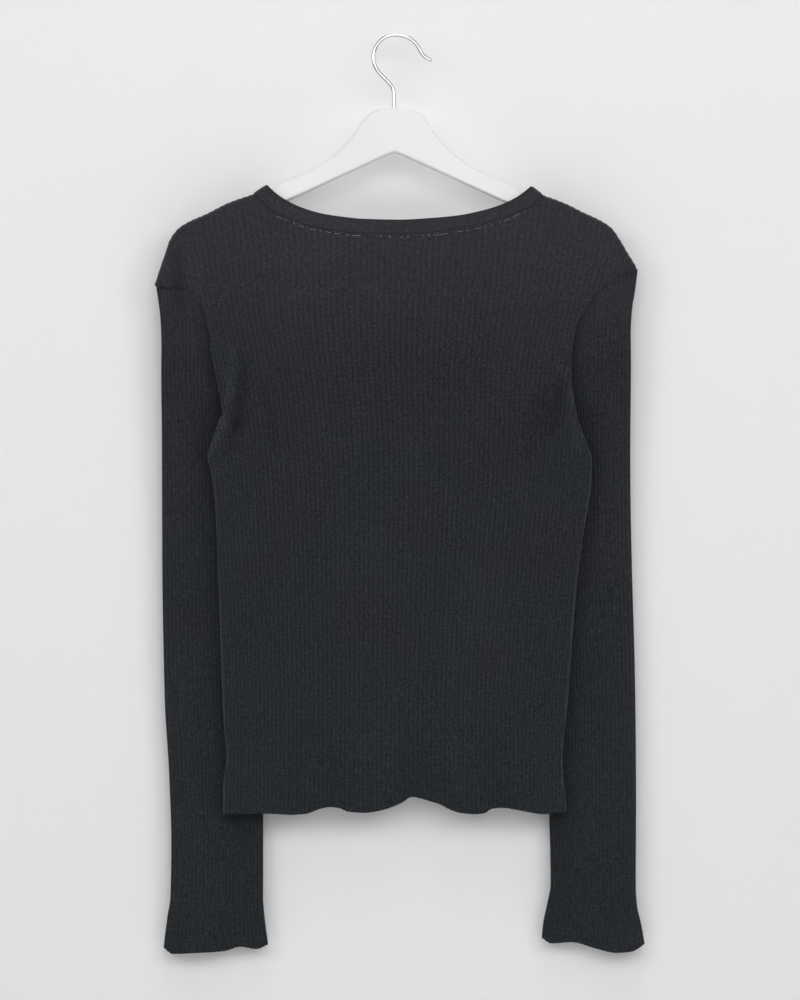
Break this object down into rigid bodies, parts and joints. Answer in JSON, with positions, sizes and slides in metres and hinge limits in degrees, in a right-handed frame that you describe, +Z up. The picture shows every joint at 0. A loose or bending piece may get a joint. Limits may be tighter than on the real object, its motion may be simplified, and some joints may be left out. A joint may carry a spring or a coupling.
{
  "type": "cardigan on a hanger",
  "caption": "Slim rib-knit long-sleeved cardigan, buttoned up and hung by its shoulders on a flat wishbone hanger with a wire hook.",
  "frame": {"origin": "inside of the hook's top bend, where a rail or a peg carries it", "axes": "+Z up; +Y towards the buttoned front, so the garment's back faces -Y; +X to the right when the back is looked at"},
  "size_m": [0.4394, 0.0383, 0.8291],
  "materials": {
    "charcoal_knit": "matt rib knit",
    "black_button": "satin",
    "white_paint": "satin white paint",
    "chrome_wire": "polished"
  },
  "bodies": {
    "root": {"back": "charcoal_knit", "front_left": "charcoal_knit", "front_right": "charcoal_knit", "sleeve_left": "charcoal_knit", "sleeve_right": "charcoal_knit", "neckband": "charcoal_knit", "button_band": "charcoal_knit", "buttonhole_band": "charcoal_knit", "button_1": "black_button", "button_2": "black_button", "button_3": "black_button", "button_4": "black_button", "button_5": "black_button", "button_6": "black_button", "button_7": "black_button", "button_8": "black_button", "hanger": "white_paint", "hook": "chrome_wire"}
  },
  "joints": []
}
